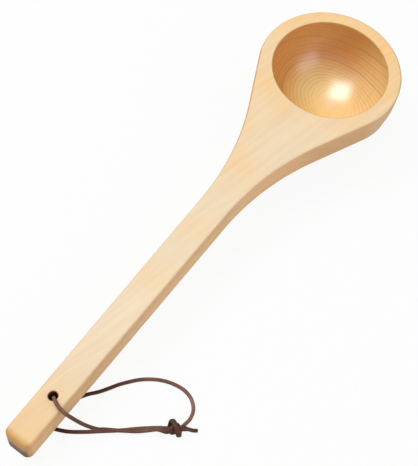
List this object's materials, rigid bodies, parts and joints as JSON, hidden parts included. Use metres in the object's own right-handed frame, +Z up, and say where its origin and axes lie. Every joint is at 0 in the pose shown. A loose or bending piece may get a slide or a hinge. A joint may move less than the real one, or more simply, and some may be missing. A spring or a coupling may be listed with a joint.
{
  "type": "sauna ladle",
  "caption": "Carved wooden ladle with a deep round bowl, a square-ended handle and a knotted leather lace through the handle.",
  "frame": {"origin": "on the surface that the ladle lies on, midway along the ladle and on its centre line", "axes": "+X from the handle's end towards the bowl, +Z up; the ladle lies as it does on a table, on the bowl's round bottom and the lower edge of the handle's end, so its top face leans 4.8 degrees down towards the handle's end"},
  "size_m": [0.4017, 0.1329, 0.0565],
  "materials": {
    "wood": "oiled, satin",
    "leather": "matte"
  },
  "bodies": {
    "root": {"ladle": "wood", "lace": "leather"}
  },
  "joints": []
}
